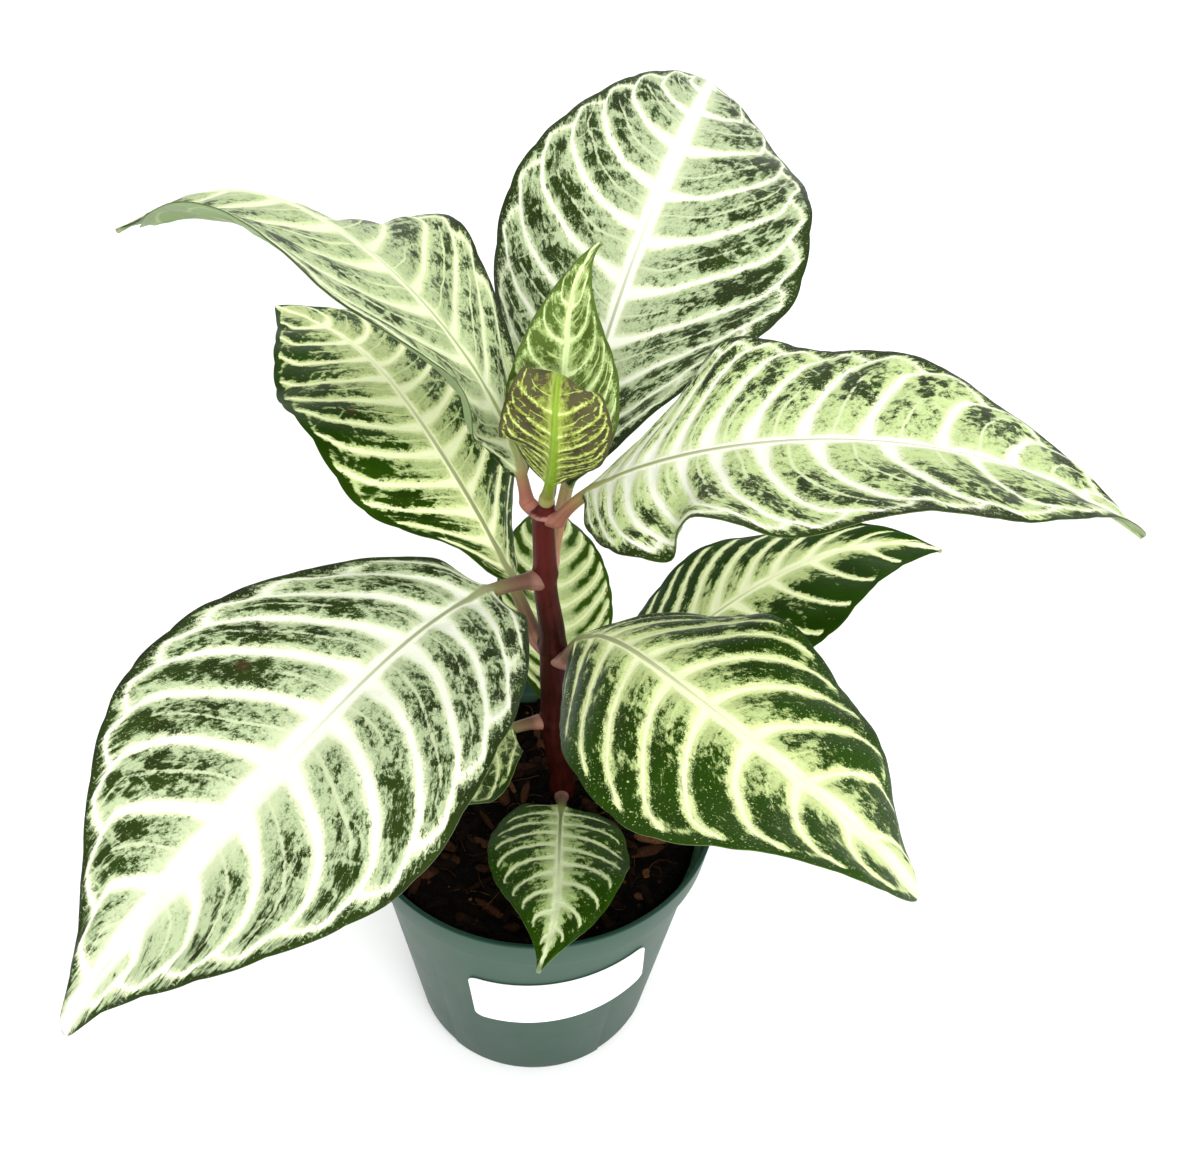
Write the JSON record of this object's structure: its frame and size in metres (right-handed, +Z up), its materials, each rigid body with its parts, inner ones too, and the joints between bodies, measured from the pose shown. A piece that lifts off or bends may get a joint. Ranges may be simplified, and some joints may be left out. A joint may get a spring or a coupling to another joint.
{
  "type": "potted zebra plant",
  "caption": "Small zebra plant with striped leaves in crossed pairs on one upright stem, growing in a tapered plastic nursery pot with a blank paper label.",
  "frame": {"origin": "middle of the pot's foot, on the surface that the pot stands on", "axes": "+Z up along the pot's axis, -Y towards the front, where the pot's label is, +X to the right seen from the front"},
  "size_m": [0.2797, 0.2968, 0.2836],
  "materials": {
    "pot": "dull teal green moulded plastic, slightly satin",
    "label": "plain white sticker paper",
    "soil": "damp dark peat with bark chips and fibres",
    "stem": "smooth deep maroon, pale rings at the nodes",
    "leaf": "waxy satin dark green with cream midrib and side veins",
    "young_leaf": "waxy bronze with lime green midrib and veins"
  },
  "bodies": {
    "root": {"pot": "pot", "label": "label", "soil": "soil", "stem": "stem", "leaf_front_left": "leaf", "leaf_top_back": "leaf", "leaf_top_left": "leaf", "leaf_top_right": "leaf", "leaf_back_left": "leaf", "leaf_front_right": "leaf", "leaf_low_left": "leaf", "leaf_back_right": "leaf", "leaf_low_front": "leaf", "leaf_low_back": "leaf", "leaf_young_back": "leaf", "leaf_young_front": "young_leaf"}
  },
  "joints": []
}
